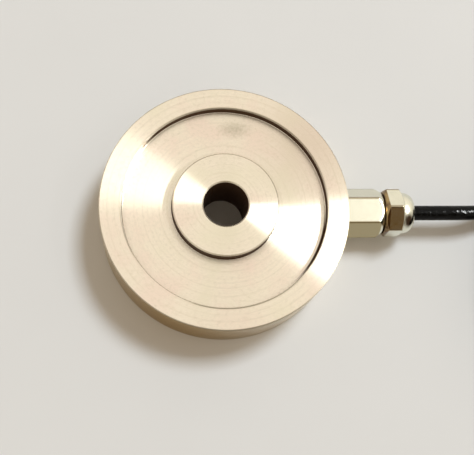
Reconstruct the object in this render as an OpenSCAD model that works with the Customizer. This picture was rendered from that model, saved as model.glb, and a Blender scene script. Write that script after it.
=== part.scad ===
// Through-hole compression load cell, in millimetres.
// A turned ring of stainless steel carries a thin round web with a boss and a bore in its middle.
// Strain gauges under the web, a ring board, a cable gland and a four-core cable make it a sensor.
// The bore's axis is Z, the support face is Z = 0, and the gland and the cable point along +X.

/* [Sensing body] */
// Outer diameter of the body
body_d = 84; // [80:0.5:90]
// Height of the outer rim over the support face
rim_h = 20.5; // [20:0.25:22.5]
// Diameter of the loading boss
boss_d = 35.6; // [33:0.2:38]
// How far the boss stands proud of the rim
boss_rise = 1.5; // [0.5:0.1:3]
// Diameter of the through bore
bore_d = 15; // [12:0.5:17]
// Width of the raised rim around the recess
rim_w = 7.5; // [6.5:0.25:9]
// Depth of the recess under the rim's top
recess_depth = 2.8; // [2:0.1:3.2]
// Thickness of the sensing web
web_t = 3; // [2.4:0.1:3.4]
// Chamfer on the rim's and the boss's outer edges
edge_chamfer = 0.4; // [0.2:0.1:0.8]
// Chamfer at both mouths of the bore
bore_chamfer = 0.5; // [0.2:0.1:0.8]
// Broken edge at the top of the recess wall
recess_break = 0.2; // [0.1:0.05:0.4]
// Tool radius at the foot of the recess walls
recess_root_r = 0.4; // [0.2:0.1:0.8]
// How far the hub's foot stays clear of the support face
hub_relief = 0.5; // [0.2:0.1:0.9]

/* [Gauge cavity] */
// Thickness of the side wall around the cavity
wall_w = 10; // [9.5:0.25:10.5]
// How far the hub inside the cavity stands in from the boss above it
hub_step = 0.8; // [0:0.1:1.2]
// Fillet at the roots of the web
web_root_r = 1; // [0.6:0.1:1.4]
// How far the hub's foot, which the cover fits over, stands in from the hub
foot_step = 1; // [0.8:0.1:1.6]

/* [Bottom cover] */
// How far the cover reaches under the side wall
cover_lip = 3; // [2:0.1:4]
// Thickness of the cover
cover_t = 1.2; // [0.8:0.1:1.6]
// How deep the cover lies in from the support face
cover_inset = 1; // [0.6:0.1:1.4]
// Gap around the cover's edges
cover_fit = 0.1; // [0.05:0.05:0.2]

/* [Strain gauges] */
// Length of a gauge along the radius, as a share of the web's width
gauge_share = 0.3; // [0.26:0.01:0.32]
// Width of a gauge's carrier film
gauge_w = 3.2; // [2.8:0.1:4]
// Thickness of a gauge's carrier film
gauge_t = 0.1; // [0.08:0.01:0.15]
// Thickness of the foil on the film
foil_t = 0.04; // [0.03:0.01:0.06]
// Width of one strand of the foil grid
foil_strand = 0.2; // [0.15:0.01:0.22]
// Distance from a gauge's end to the wall beside it, as a share of the web's width
margin_share = 0.12; // [0.11:0.01:0.14]
// Diameter of a gauge's lead wires
gauge_wire_d = 0.4; // [0.3:0.05:0.5]

/* [Ring board] */
// Width of the ledge that carries the board's outer edge
ledge_w = 1.2; // [1:0.1:1.5]
// Width of the ring that the board is
board_w = 7.2; // [6.8:0.1:7.4]
// Thickness of the board
board_t = 1; // [0.8:0.1:1.6]
// Angle of the board's opening at the cable
board_gap = 30; // [28:1:34]
// Height of the board's ledge over the cover
board_lift = 6.8; // [6.4:0.1:7.2]
// Gap around the board's edge
board_fit = 0.1; // [0.05:0.05:0.2]
// Length of a chip resistor
chip_len = 3.2; // [2.4:0.1:4]
// Width of a chip resistor
chip_w = 1.6; // [1.2:0.1:2]
// Height of a chip resistor
chip_h = 0.6; // [0.4:0.1:0.9]

/* [Cable gland] */
// Height of the gland's axis
gland_z = 10.5; // [10.2:0.1:10.8]
// Width across the flats of the body and the nut
gland_af = 15; // [14.5:0.1:15.5]
// Length of the hexagon of the gland's body
gland_hex_len = 14.2; // [13:0.2:16]
// Turn of the body's hexagon about its axis
gland_turn = 8; // [0:1:30]
// Turn of the nut's hexagon about its axis
nut_turn = 30; // [0:1:30]
// Diameter of the thread that goes into the rim
gland_thread_d = 10; // [9:0.1:10.4]
// Length of that thread
gland_thread_len = 6.4; // [5:0.1:6.8]
// Radial gap between the thread and its hole
thread_fit = 0.05; // [0.02:0.01:0.1]
// Gap between the thread's end and the floor of its hole
thread_run_out = 0.3; // [0.2:0.1:0.6]
// Diameter of the cores' way from the thread hole into the cavity
passage_d = 5.4; // [5:0.1:6]
// Length of the chamfer on the body's outer end
gland_chamfer = 2.2; // [1.2:0.1:3]
// Length of the neck that the nut is screwed on
neck_len = 6; // [5.6:0.1:6.4]
// Wall of the neck
neck_wall = 1; // [0.8:0.1:1.1]
// Length of the nut's hexagon
nut_hex_len = 6.6; // [6.4:0.1:8]
// Length of the nut's domed end
dome_len = 4.2; // [3.8:0.1:5]
// Diameter of the domed end's face
dome_face_d = 8.6; // [8:0.1:9.4]
// Length of the chamfer on the nut's inner end
nut_chamfer = 1.4; // [0.8:0.1:2]
// Gap left between the nut and the body
nut_gap = 0.3; // [0.1:0.1:0.5]
// Wall of the rubber bush that grips the cable
bush_wall = 1; // [0.8:0.1:1.1]
// Length of the bush
bush_len = 8; // [6:0.2:8.4]
// Wall of the claw around the bush
claw_wall = 0.8; // [0.6:0.1:0.9]
// Number of fingers of the claw
claw_fingers = 8; // [6:1:10]
// Width of the slots between the fingers
claw_slot = 0.6; // [0.4:0.1:0.9]
// Gap between the pieces inside the gland
gland_fit = 0.1; // [0.05:0.01:0.15]
// Section diameter of the sealing ring at the rim
seal_d = 1.4; // [1.2:0.1:1.6]

/* [Cable] */
// Outer diameter of the cable
cable_d = 5.2; // [5:0.1:5.4]
// Diameter of one insulated core
core_d = 1.1; // [0.9:0.05:1.15]
// Distance of the cores from the cable's axis
core_ring = 1.15; // [1.1:0.05:1.3]
// Diameter of the bare screen wire
screen_d = 0.6; // [0.4:0.05:0.7]
// Diameter across the middle of the coil's turns
coil_mid_d = 62; // [60:0.5:64]
// Thickness of a coil tie
tie_t = 0.8; // [0.6:0.1:0.9]
// Width of a coil tie
tie_w = 2.6; // [2:0.1:3.6]
// Gap between a tie and the coil
tie_fit = 0.1; // [0.05:0.05:0.15]
// Wall of the sleeve shrunk over the stripped end
sleeve_wall = 0.4; // [0.3:0.1:0.6]
// Length of the leads past the cable's jacket
lead_len = 30; // [24:1:34]

/* [Hidden] */

$fn = 96;
// Steps around small round sections, and corners around the swept tubes
section_fn = 32;
cable_sides = 12;
core_sides = 8;
wire_sides = 6;

// How far a cut runs past the surface that it leaves by
past = 1;

// Tints that several pieces share
jacket_tint = "#161614";
drain_tint = "#bdb7aa";
red_tint = "#a3201c";
black_tint = "#161616";
green_tint = "#1f7a3a";
white_tint = "#e4e2dc";

// Heights of the body, from the support face up
cover_top = cover_inset + cover_t;
board_top = cover_top + board_lift;
board_bottom = board_top - board_t;
recess_floor = rim_h - recess_depth;
web_bottom = recess_floor - web_t;
boss_top = rim_h + boss_rise;

// Radii of the body, from the bore outwards
body_r = body_d / 2;
bore_r = bore_d / 2;
boss_r = boss_d / 2;
hub_r = boss_r - hub_step;
hub_foot_r = hub_r - foot_step;
recess_r = body_r - rim_w;
cavity_r = body_r - wall_w;
board_r = cavity_r + ledge_w;
board_bore_r = board_r - board_w;
board_seat_r = board_r + board_fit;
cover_r = cavity_r + cover_lip;
cover_seat_r = cover_r + cover_fit;

// Places along the gland's axis
gland_corner_r = gland_af / sqrt(3);
spot_margin = 0.3;
spot_sink = 0.1;
spot_r = gland_corner_r + spot_margin;
spot_x = sqrt(body_r * body_r - spot_r * spot_r) - spot_sink;
hole_floor_x = spot_x - gland_thread_len - thread_run_out;
hex_end = spot_x + gland_hex_len;
neck_end = hex_end + neck_len;
nut_start = hex_end + nut_gap;
nut_hex_end = nut_start + nut_hex_len;
nut_end = nut_hex_end + dome_len;

// Where the nut's round form starts and ends, clear of the hexagon's corners
nut_seam = 15;

// Radii inside the gland, from the cable outwards
cable_r = cable_d / 2;
bush_in_r = cable_r + gland_fit / 2;
bush_out_r = bush_in_r + bush_wall;
claw_in_r = bush_out_r + gland_fit / 2;
claw_out_r = claw_in_r + claw_wall;
neck_in_r = claw_out_r + gland_fit;
neck_out_r = neck_in_r + neck_wall;
nut_in_r = neck_out_r + gland_fit;
nose_gap = 0.3;
nose_in_r = cable_r + nose_gap;
shank_gap = 0.4;
shank_bore_r = cable_r + shank_gap;
shank_r = gland_thread_d / 2;
seal_room = 0.2;
seal_fit = 0.02;
seal_r = seal_d / 2;
seal_groove_in_r = shank_r + seal_room;
seal_groove_w = seal_d + seal_room;
// Floor of the pocket that the bush and the claw stand on
pocket_depth = 2;
pocket_x = hex_end - pocket_depth;
// The claw's fingers bend in past the neck's end and stop short of the nut's end
claw_bend_past = 0.6;
claw_short = 1.6;
claw_taper = 0.9;
claw_bend_x = neck_end + claw_bend_past;
claw_end = nut_end - claw_short;
claw_tip_r = claw_out_r - claw_taper;

// The strain gauges stand in a cross between the four quarters of the web
gauge_turn = 45;
web_w = cavity_r - hub_r;
gauge_len = gauge_share * web_w;
gauge_margin = margin_share * web_w;
gauge_in_r = hub_r + gauge_margin;
gauge_out_r = cavity_r - gauge_margin - gauge_len;
foil_face = web_bottom - gauge_t - foil_t;
// Film left free beside the foil grid, before it and after it, and the foil's solder tabs
film_side = 0.5;
film_start = 0.4;
film_end = 1.2;
tab_w = 0.8;
tab_len = 1;
tab_edge = 0.25;
tab_middle = tab_edge + tab_len / 2;
grid_w = gauge_w - 2 * film_side;

// A gauge's wires drop past the board's inner edge, each in its own lane to the side of the gauge
wire_r = gauge_wire_d / 2;
wire_clear = 1.3;
wire_drop_r = board_bore_r - wire_clear;
inner_lane = 0.8;
outer_lane = 2.2;
// First step of a wire off its tab: along the gauge, and how far it stays short of its lane
tab_step = 0.75;
lane_short = 0.7;
// How far out from the drop and how far under the board the wire hooks back up to its pad
wire_hook = [[0.1, 0.3], [0.9, 1], [2.8, wire_r]];

// Places on the board's lower face, as angles from the cable, and the cores' solder pads there
pad_r = (board_bore_r + board_r) / 2;
chip_places = [80, 100, 260, 280];
low_pad = [pad_r - 0.4, 20];
high_pad = [pad_r + 1, 27];
solder_gap = 0.05;

// A core leaves its stripped jacket straight, then spreads where it comes through the wall
core_straight = 3.5;
core_mouth_x = cavity_r + 0.6;
core_spread = 0.15;
core_dip = 0.2;

// Route of the cable from its stripped end in the gland down to the surface and up to the coil:
// how far along from the gland's seat, how far to the side and how high
cable_route = [for (p = [
    [-1.5, 0, gland_z], [9, 0, gland_z], [21, 0, gland_z], [33, 0, gland_z], [43, 0, gland_z],
    [50, 0.4, 9.7], [56.5, 2, 7.8], [63, 4.9, 5.5], [69.5, 7.9, 3.6], [76, 11, 2.7], [82.5, 14, 2.9]
]) [spot_x + p.x, p.y, p.z]];
route_end = cable_route[len(cable_route) - 1];

// The coil: four turns side by side and four on top of each other, the last one not full
coil_wide = 4;
coil_high = 4;
coil_in_r = coil_mid_d / 2 - coil_wide * cable_r;
coil_out_r = coil_mid_d / 2 + coil_wide * cable_r;
coil_z = tie_t + tie_fit;
coil_top = coil_z + coil_high * cable_d;
coil_ledge = coil_top - cable_d;
coil_ledge_r = coil_out_r - cable_d;
coil_round = 1.2;
// Gap between the coil and what lies against it
lay_gap = 0.1;
// The cable meets the coil on its outside, at this angle around the coil's middle
coil_meet_angle = 115;
coil_meet_r = coil_out_r + cable_r + lay_gap;
coil_x = route_end.x - coil_meet_r * cos(coil_meet_angle);
coil_y = route_end.y - coil_meet_r * sin(coil_meet_angle);
// The top outer turn lies between these angles, and the stripped end lies on the ledge past it
coil_full_from = 50;
coil_full_to = 290;
tie_near_angle = 255;
tie_far_angle = 150;

// The stripped end, along the ledge
sleeve_fit = 0.05;
sleeve_in_r = cable_r + sleeve_fit;
sleeve_r = sleeve_in_r + sleeve_wall;
tail_r = coil_ledge_r + sleeve_r + lay_gap;
tail_z = coil_ledge + sleeve_r + lay_gap;
tail_len = 12;
sleeve_len = 12;
sleeve_past = 2;
join_gap = 0.05;
function arc_angle(length) = length / tail_r * 180 / PI;
tail_to = coil_full_from - arc_angle(tail_len);

// Where the leads lie side by side on the ledge, from its wall outwards
lead_apart = 0.05;
lead_first_r = coil_ledge_r + core_d / 2 + lay_gap;
lead_step = core_d + lead_apart;
screen_step = (core_d + screen_d) / 2 + lead_apart;
screen_place = lead_step + screen_step;
last_place = screen_place + screen_step + lead_step;
// Shares of a lead's length between which it moves aside and comes down on the ledge
lead_aside = [0.08, 0.35];
lead_down = [0.15, 0.5];
lead_steps = 12;

// Points of a round arc in a flat profile
function arc(x, y, r, a0, a1, n = 6) =
    [for (i = [0:n]) [x + r * cos(a0 + (a1 - a0) * i / n), y + r * sin(a0 + (a1 - a0) * i / n)]];

// A tube swept along points: a ring of corners stands square to the path at each point
function unit(v) = v / norm(v);
function along(p, i) = unit(p[min(i + 1, len(p) - 1)] - p[max(i - 1, 0)]);
function ring(p, i, r, n, aside) =
    let (t = along(p, i), a = unit(cross(aside, t)), b = cross(t, a))
    [for (k = [0:n - 1]) p[i] + r * (cos(360 * k / n) * a + sin(360 * k / n) * b)];

module swept_tube(p, r, n, aside) {
    last = len(p) - 1;
    corners = [for (i = [0:last]) each ring(p, i, r, n, aside)];
    near = [[for (k = [0:n - 1]) k]];
    far = [[for (k = [0:n - 1]) last * n + n - 1 - k]];
    walls = [for (i = [0:last - 1]) for (k = [0:n - 1]) let (m = (k + 1) % n)
        each [[i * n + k, (i + 1) * n + k, (i + 1) * n + m], [i * n + k, (i + 1) * n + m, i * n + m]]];
    polyhedron(points = corners, faces = concat(near, walls, far), convexity = 8);
}

// Turns a solid that stands on Z into one that lies along the gland's axis
module on_gland_axis(x) {
    translate([x, 0, gland_z]) rotate([0, 90, 0]) children();
}

// A hexagonal bar: at turn 0 it has a flat on top, and a turn tilts that flat towards -Y
module hex_bar(x, length, turn) {
    on_gland_axis(x) rotate([0, 0, 30 + turn]) cylinder(r = gland_corner_r, h = length, $fn = 6);
}

module body_profile() {
    polygon(concat(
        [[cover_seat_r, 0], [body_r - edge_chamfer, 0], [body_r, edge_chamfer]],
        [[body_r, rim_h - edge_chamfer], [body_r - edge_chamfer, rim_h]],
        [[recess_r + recess_break, rim_h], [recess_r, rim_h - recess_break]],
        arc(recess_r - recess_root_r, recess_floor + recess_root_r, recess_root_r, 0, -90),
        arc(boss_r + recess_root_r, recess_floor + recess_root_r, recess_root_r, 270, 180),
        [[boss_r, boss_top - edge_chamfer], [boss_r - edge_chamfer, boss_top]],
        [[bore_r + bore_chamfer, boss_top], [bore_r, boss_top - bore_chamfer]],
        [[bore_r, hub_relief + bore_chamfer], [bore_r + bore_chamfer, hub_relief]],
        [[hub_foot_r, hub_relief], [hub_foot_r, cover_top], [hub_r, cover_top]],
        arc(hub_r + web_root_r, web_bottom - web_root_r, web_root_r, 180, 90),
        arc(cavity_r - web_root_r, web_bottom - web_root_r, web_root_r, 90, 0),
        [[cavity_r, board_top], [board_seat_r, board_top]],
        [[board_seat_r, cover_top], [cover_seat_r, cover_top]]
    ));
}

module sensing_body() {
    color("#d9cfbe") difference() {
        rotate_extrude() body_profile();
        on_gland_axis(cavity_r - 2 * past)
            cylinder(d = passage_d, h = hole_floor_x - cavity_r + 3 * past);
        on_gland_axis(hole_floor_x)
            cylinder(r = shank_r + thread_fit, h = body_r - hole_floor_x + past);
        on_gland_axis(spot_x) cylinder(r = spot_r, h = body_r - spot_x + past);
    }
}

module bottom_cover() {
    color("#cfc8ba") rotate_extrude() translate([hub_foot_r + cover_fit, cover_inset])
        square([cover_r - hub_foot_r - cover_fit, cover_t]);
}

// One foil gauge on its film, with its solder tabs at the end that faces the board's inner edge
module gauge(place, radius, tabs_out) {
    strands = 5;
    pitch = (grid_w - foil_strand) / (strands - 1);
    strand_end = gauge_len - film_end;
    rotate([0, 0, gauge_turn + 90 * (place - 1)]) translate([radius, 0, 0])
        mirror([tabs_out ? 0 : 1, 0, 0]) translate([tabs_out ? 0 : -gauge_len, 0, 0]) {
            color("#c98a3a") translate([0, -gauge_w / 2, web_bottom - gauge_t])
                cube([gauge_len, gauge_w, gauge_t]);
            color("#8c8273") translate([0, 0, foil_face]) {
                for (i = [0:strands - 1]) translate([film_start, -grid_w / 2 + i * pitch, 0])
                    cube([strand_end - film_start, foil_strand, foil_t]);
                for (i = [0:strands - 2])
                    translate([i % 2 == 0 ? film_start : strand_end - foil_strand,
                        -grid_w / 2 + i * pitch, 0]) cube([foil_strand, pitch + foil_strand, foil_t]);
                for (side = [-1, 1])
                    translate([gauge_len - tab_edge - tab_len, side * grid_w / 2 - tab_w / 2, 0])
                        cube([tab_len, tab_w, foil_t]);
            }
        }
}

// A wire from a gauge's tab: a short step off the tab, then down past the board and up to its pad
module gauge_wire(tab_x, step, lane, side) {
    top = foil_face - wire_r;
    off_tab = [0.3, 1.6];
    aside = max(grid_w / 2, lane - lane_short);
    swept_tube(concat(
        [[tab_x, side * grid_w / 2, top], [tab_x + step, side * aside, top - off_tab[0]]],
        [[wire_drop_r, side * lane, top - off_tab[1]], [wire_drop_r, side * lane, board_top]],
        [for (h = wire_hook) [wire_drop_r + h[0], side * lane, board_bottom - h[1]]]
    ), wire_r, wire_sides, [0, 1, 0]);
}

// Four wires of one gauge place: two from the inner gauge and two from the outer one
module gauge_leads(place) {
    color("#b5562a") rotate([0, 0, gauge_turn + 90 * (place - 1)]) for (side = [-1, 1]) {
        gauge_wire(gauge_in_r + gauge_len - tab_middle, tab_step, inner_lane, side);
        gauge_wire(gauge_out_r + tab_middle, -tab_step, outer_lane, side);
    }
}

module ring_board() {
    reach = 2 * board_r;
    color("#2f6b45") difference() {
        translate([0, 0, board_bottom]) difference() {
            cylinder(r = board_r, h = board_t);
            translate([0, 0, -past]) cylinder(r = board_bore_r, h = board_t + 2 * past);
        }
        translate([0, 0, board_bottom - past]) linear_extrude(board_t + 2 * past) polygon([
            [0, 0], [reach, -reach * tan(board_gap / 2)], [reach, reach * tan(board_gap / 2)]
        ]);
    }
}

// A chip resistor with two metal end caps, soldered to the board's lower face
module chip(angle) {
    cap = 0.5;
    rotate([0, 0, angle]) translate([pad_r, 0, board_bottom - chip_h]) {
        color("#2b2b2b") translate([-chip_w / 2, -chip_len / 2 + cap, 0])
            cube([chip_w, chip_len - 2 * cap, chip_h]);
        color("#c9c9c4") for (side = [0, 1])
            translate([-chip_w / 2, side == 0 ? -chip_len / 2 : chip_len / 2 - cap, 0])
                cube([chip_w, cap, chip_h]);
    }
}

// A core of the cable: out of the stripped jacket, through the wall and round to its solder pad.
// The bends are measured in from the cavity's wall, out from the middle, and up or down
module inner_core(side, level, tint) {
    start = cable_route[0].x;
    off = core_ring * sqrt(0.5);
    core_z = gland_z + level * off;
    under = board_bottom - core_d / 2;
    low_bends = [[1.1, 2.2, core_z - 1.1], [2.2, 4.6, under], [3.1, 7, under - 0.5]];
    high_bends = [[1, 2.6, core_z - 1.1], [1.6, 5, under + 1.1], [1.9, 7.2, under - 0.2],
        [2.6, 9.6, under - 0.4]];
    pad = level < 0 ? low_pad : high_pad;
    color(tint) swept_tube(concat(
        [for (x = [start, start - core_straight]) [x, side * off, core_z]],
        [[core_mouth_x, side * (off + core_spread), core_z - core_dip]],
        [for (b = level < 0 ? low_bends : high_bends) [cavity_r - b[0], side * b[1], b[2]]],
        [[pad[0] * cos(pad[1]), side * pad[0] * sin(pad[1]), under - solder_gap]]
    ), core_d / 2, core_sides, [0, 0, 1]);
}

// The screen's drain wire, from the jacket's middle to a pad at the board's inner edge, with its
// bends measured in from the cavity's wall, out from the middle, and up or down
module screen_drain() {
    under = board_bottom - screen_d / 2;
    bends = [[-2.5, 0, gland_z], [0, 0, gland_z - 0.7], [2.3, 1.2, gland_z - 2.2],
        [3.9, 3.8, under - 0.5], [5.1, 6.4, under - 0.7], [6.1, 8.8, under - solder_gap]];
    color(drain_tint) swept_tube(concat(
        [cable_route[0]], [for (b = bends) [cavity_r - b[0], -b[1], b[2]]]
    ), screen_d / 2, core_sides, [0, 0, 1]);
}

module gland_body() {
    // Where the end's chamfer starts and stops, and the broken edge of the end face
    chamfer_from = gland_hex_len - gland_chamfer;
    break_from = gland_hex_len - 0.3;
    break_r = gland_af / 2 - 0.2;
    face_r = gland_af / 2 - 0.6;
    color("#d8d2b8") difference() {
        union() {
            on_gland_axis(spot_x - gland_thread_len)
                cylinder(r = shank_r, h = gland_thread_len + past);
            intersection() {
                hex_bar(spot_x, gland_hex_len, gland_turn);
                on_gland_axis(spot_x) rotate_extrude() polygon([
                    [0, 0], [gland_corner_r + past, 0], [gland_corner_r + past, chamfer_from],
                    [gland_corner_r, chamfer_from], [break_r, break_from],
                    [face_r, gland_hex_len], [0, gland_hex_len]
                ]);
            }
            on_gland_axis(hex_end - past) cylinder(r = neck_out_r, h = neck_len + past);
        }
        on_gland_axis(spot_x - gland_thread_len - past)
            cylinder(r = shank_bore_r, h = gland_thread_len + gland_hex_len + 2 * past);
        on_gland_axis(pocket_x) cylinder(r = neck_in_r, h = neck_end - pocket_x + past);
        on_gland_axis(spot_x - past) rotate_extrude()
            translate([seal_groove_in_r, 0]) square([seal_groove_w, seal_d + past]);
    }
}

module gland_seal() {
    color("#1c1c1c") on_gland_axis(spot_x + seal_r) rotate_extrude()
        translate([seal_groove_in_r + seal_groove_w / 2, 0])
            circle(r = seal_r - seal_fit, $fn = section_fn);
}

module gland_bush() {
    color("#222222") on_gland_axis(pocket_x + gland_fit) rotate_extrude()
        translate([bush_in_r, 0]) square([bush_wall, bush_len]);
}

// The claw: a ring whose slotted fingers the nut's inner cone presses on the bush
module gland_claw() {
    straight = claw_bend_x - pocket_x;
    whole = claw_end - pocket_x;
    slot_len = 5.2;
    tip_wall = claw_wall - 0.2;
    color("#e6e2d6") on_gland_axis(pocket_x) difference() {
        rotate_extrude() polygon([
            [claw_in_r, gland_fit], [claw_out_r, gland_fit], [claw_out_r, straight],
            [claw_tip_r, whole], [claw_tip_r - tip_wall, whole], [claw_in_r, straight]
        ]);
        for (i = [0:claw_fingers - 1]) rotate([0, 0, 360 * i / claw_fingers])
            translate([0, -claw_slot / 2, whole - slot_len])
                cube([claw_out_r + past, claw_slot, slot_len + past]);
    }
}

// The nut: a hexagon chamfered at its inner end and domed at its outer end, hollow to the claw's
// form. Its turned outline runs past the hexagon's corners, at a slope of one to one
module gland_nut() {
    hex_len = nut_hex_end - nut_start;
    whole = nut_end - nut_start;
    dome_base_r = gland_af / 2 - 0.25;
    past_corner = 1;
    round_r = gland_corner_r + past_corner;
    shoulder = 0.6;
    dome_steps = 6;
    face_r = dome_face_d / 2;
    neck_in = neck_end - nut_start + gland_fit;
    neck_step = 0.2;
    bend_r = claw_out_r + gland_fit;
    bend = claw_bend_x - nut_start;
    tip_r = claw_tip_r + gland_fit;
    tip = claw_end - nut_start;
    color("#a89a6a") difference() {
        intersection() {
            hex_bar(nut_start, whole, nut_turn);
            on_gland_axis(nut_start) rotate([0, 0, nut_seam]) rotate_extrude() polygon(concat(
                [[0, 0], [gland_corner_r - nut_chamfer, 0], [round_r, nut_chamfer + past_corner]],
                [[round_r, hex_len - shoulder * (round_r - dome_base_r)], [dome_base_r, hex_len]],
                [for (i = [1:dome_steps]) let (a = 90 * i / dome_steps)
                    [face_r + (dome_base_r - face_r) * cos(a), hex_len + dome_len * sin(a)]],
                [[0, whole]]
            ));
        }
        on_gland_axis(nut_start) rotate_extrude() polygon([
            [0, -past], [nut_in_r, -past], [nut_in_r, neck_in], [bend_r, neck_in + neck_step],
            [bend_r, bend], [tip_r, tip], [tip_r, tip + gland_fit], [nose_in_r, tip + gland_fit],
            [nose_in_r, whole + past], [0, whole + past]
        ]);
    }
}

module cable_run() {
    color(jacket_tint) swept_tube(cable_route, cable_r, cable_sides, [0, 1, 0]);
}

// A flat rectangle with rounded corners, for the coil's section and the ties around it
module rounded(x0, x1, y0, y1, r) {
    translate([x0 + r, y0]) square([x1 - x0 - 2 * r, y1 - y0]);
    translate([x0, y0 + r]) square([x1 - x0, y1 - y0 - 2 * r]);
    for (x = [x0 + r, x1 - r]) for (y = [y0 + r, y1 - r])
        translate([x, y]) circle(r = r, $fn = section_fn);
}

module cable_coil() {
    open_angle = 360 - coil_full_to + coil_full_from;
    color(jacket_tint) translate([coil_x, coil_y, 0]) difference() {
        rotate_extrude() rounded(coil_in_r, coil_out_r, coil_z, coil_top, coil_round);
        rotate([0, 0, coil_full_to]) rotate_extrude(angle = open_angle)
            translate([coil_ledge_r, coil_ledge]) square([cable_d + past, cable_d + past]);
    }
}

// A bent round bar that lies along the coil's ledge, between two lengths from the turn's end
module ledge_bar(from, length, r) {
    translate([coil_x, coil_y, tail_z]) rotate([0, 0, coil_full_from - arc_angle(from + length)])
        rotate_extrude(angle = arc_angle(length))
            translate([tail_r, 0]) circle(r = r, $fn = section_fn);
}

module cable_tail() {
    color(jacket_tint) ledge_bar(join_gap, tail_len - join_gap, cable_r);
}

module end_sleeve() {
    start = tail_len + sleeve_past - sleeve_len;
    color("#2a2a2a") difference() {
        ledge_bar(start, sleeve_len, sleeve_r);
        ledge_bar(start - past, sleeve_len + 2 * past, sleeve_in_r);
    }
}

// One lead of the stripped end: out of the jacket's end, apart from the others and down on the ledge
module ledge_lead(start_r, start_z, rest_r, thickness, tint) {
    rest_z = coil_ledge + thickness / 2 + lead_apart;
    function ease(f, span) =
        let (s = min(1, max(0, (f - span[0]) / (span[1] - span[0])))) s * s * (3 - 2 * s);
    function spot(f) = let (a = tail_to - arc_angle(2 * join_gap + lead_len * f),
        r = start_r + (rest_r - start_r) * ease(f, lead_aside))
        [r * cos(a), r * sin(a), start_z + (rest_z - start_z) * ease(f, lead_down)];
    color(tint) translate([coil_x, coil_y, 0]) swept_tube(
        [for (i = [0:lead_steps]) spot(i / lead_steps)], thickness / 2, core_sides, [0, 0, 1]);
}

module core_lead(side, level, place, tint) {
    off = core_ring * sqrt(0.5);
    ledge_lead(tail_r + side * off, tail_z + level * off, lead_first_r + place, core_d, tint);
}

module lead_screen() {
    ledge_lead(tail_r, tail_z, lead_first_r + screen_place, screen_d, drain_tint);
}

// A nylon tie around the coil's section: a loop, its locking head and the cut end of its strap
module coil_tie(angle) {
    sag = coil_in_r - sqrt(coil_in_r * coil_in_r - tie_w * tie_w / 4);
    x0 = coil_in_r - sag - tie_fit;
    x1 = coil_out_r + tie_fit;
    y0 = coil_z - tie_fit;
    y1 = coil_top + tie_fit;
    head = [3.2, 4.4, 4.2];
    head_x = x1 + tie_t / 2;
    head_z = coil_top / 2;
    stub_in = 1.4;
    stub_len = 2.5;
    root = 0.1;
    color("#20201f") translate([coil_x, coil_y, 0]) rotate([0, 0, angle]) {
        rotate([90, 0, 0]) translate([0, 0, -tie_w / 2]) linear_extrude(tie_w) difference() {
            rounded(x0 - tie_t, x1 + tie_t, y0 - tie_t, y1 + tie_t, coil_round + tie_t);
            rounded(x0, x1, y0, y1, coil_round);
        }
        translate([head_x, -head[1] / 2, head_z]) cube(head);
        translate([head_x + stub_in, -tie_w / 2, head_z + head[2] - root])
            cube([tie_t, tie_w, stub_len + root]);
    }
}

sensing_body();
bottom_cover();
gauge(1, gauge_in_r, true);  // gauge_inner_1
gauge(2, gauge_in_r, true);  // gauge_inner_2
gauge(3, gauge_in_r, true);  // gauge_inner_3
gauge(4, gauge_in_r, true);  // gauge_inner_4
gauge(1, gauge_out_r, false);  // gauge_outer_1
gauge(2, gauge_out_r, false);  // gauge_outer_2
gauge(3, gauge_out_r, false);  // gauge_outer_3
gauge(4, gauge_out_r, false);  // gauge_outer_4
gauge_leads(1);  // gauge_leads_1
gauge_leads(2);  // gauge_leads_2
gauge_leads(3);  // gauge_leads_3
gauge_leads(4);  // gauge_leads_4
ring_board();
chip(chip_places[0]);  // zero_resistor
chip(chip_places[1]);  // span_resistor
chip(chip_places[2]);  // balance_resistor
chip(chip_places[3]);  // trim_resistor
inner_core(1, 1, red_tint);  // core_red
inner_core(-1, 1, black_tint);  // core_black
inner_core(1, -1, green_tint);  // core_green
inner_core(-1, -1, white_tint);  // core_white
screen_drain();
gland_body();
gland_seal();
gland_bush();
gland_claw();
gland_nut();
cable_run();
cable_coil();
cable_tail();
coil_tie(tie_near_angle);  // coil_tie_near
coil_tie(tie_far_angle);  // coil_tie_far
end_sleeve();
core_lead(-1, -1, 0, red_tint);  // lead_red
core_lead(1, -1, last_place, black_tint);  // lead_black
core_lead(-1, 1, lead_step, green_tint);  // lead_green
core_lead(1, 1, screen_place + screen_step, white_tint);  // lead_white
lead_screen();
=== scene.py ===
import math

import bpy
import numpy as np
from mathutils import Matrix


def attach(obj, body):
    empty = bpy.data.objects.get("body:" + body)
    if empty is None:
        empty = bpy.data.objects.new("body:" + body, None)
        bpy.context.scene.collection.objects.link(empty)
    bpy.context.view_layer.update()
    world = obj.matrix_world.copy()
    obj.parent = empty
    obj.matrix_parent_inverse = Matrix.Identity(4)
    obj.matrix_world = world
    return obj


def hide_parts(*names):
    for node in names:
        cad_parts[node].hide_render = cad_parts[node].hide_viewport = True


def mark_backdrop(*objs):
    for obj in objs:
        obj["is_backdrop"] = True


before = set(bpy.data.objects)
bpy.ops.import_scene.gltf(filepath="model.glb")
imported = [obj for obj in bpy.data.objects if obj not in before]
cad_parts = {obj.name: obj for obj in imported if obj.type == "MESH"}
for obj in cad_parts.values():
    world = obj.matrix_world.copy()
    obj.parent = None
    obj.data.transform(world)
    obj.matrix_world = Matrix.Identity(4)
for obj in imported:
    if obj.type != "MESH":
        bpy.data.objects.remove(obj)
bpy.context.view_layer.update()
MM = 0.001


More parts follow.
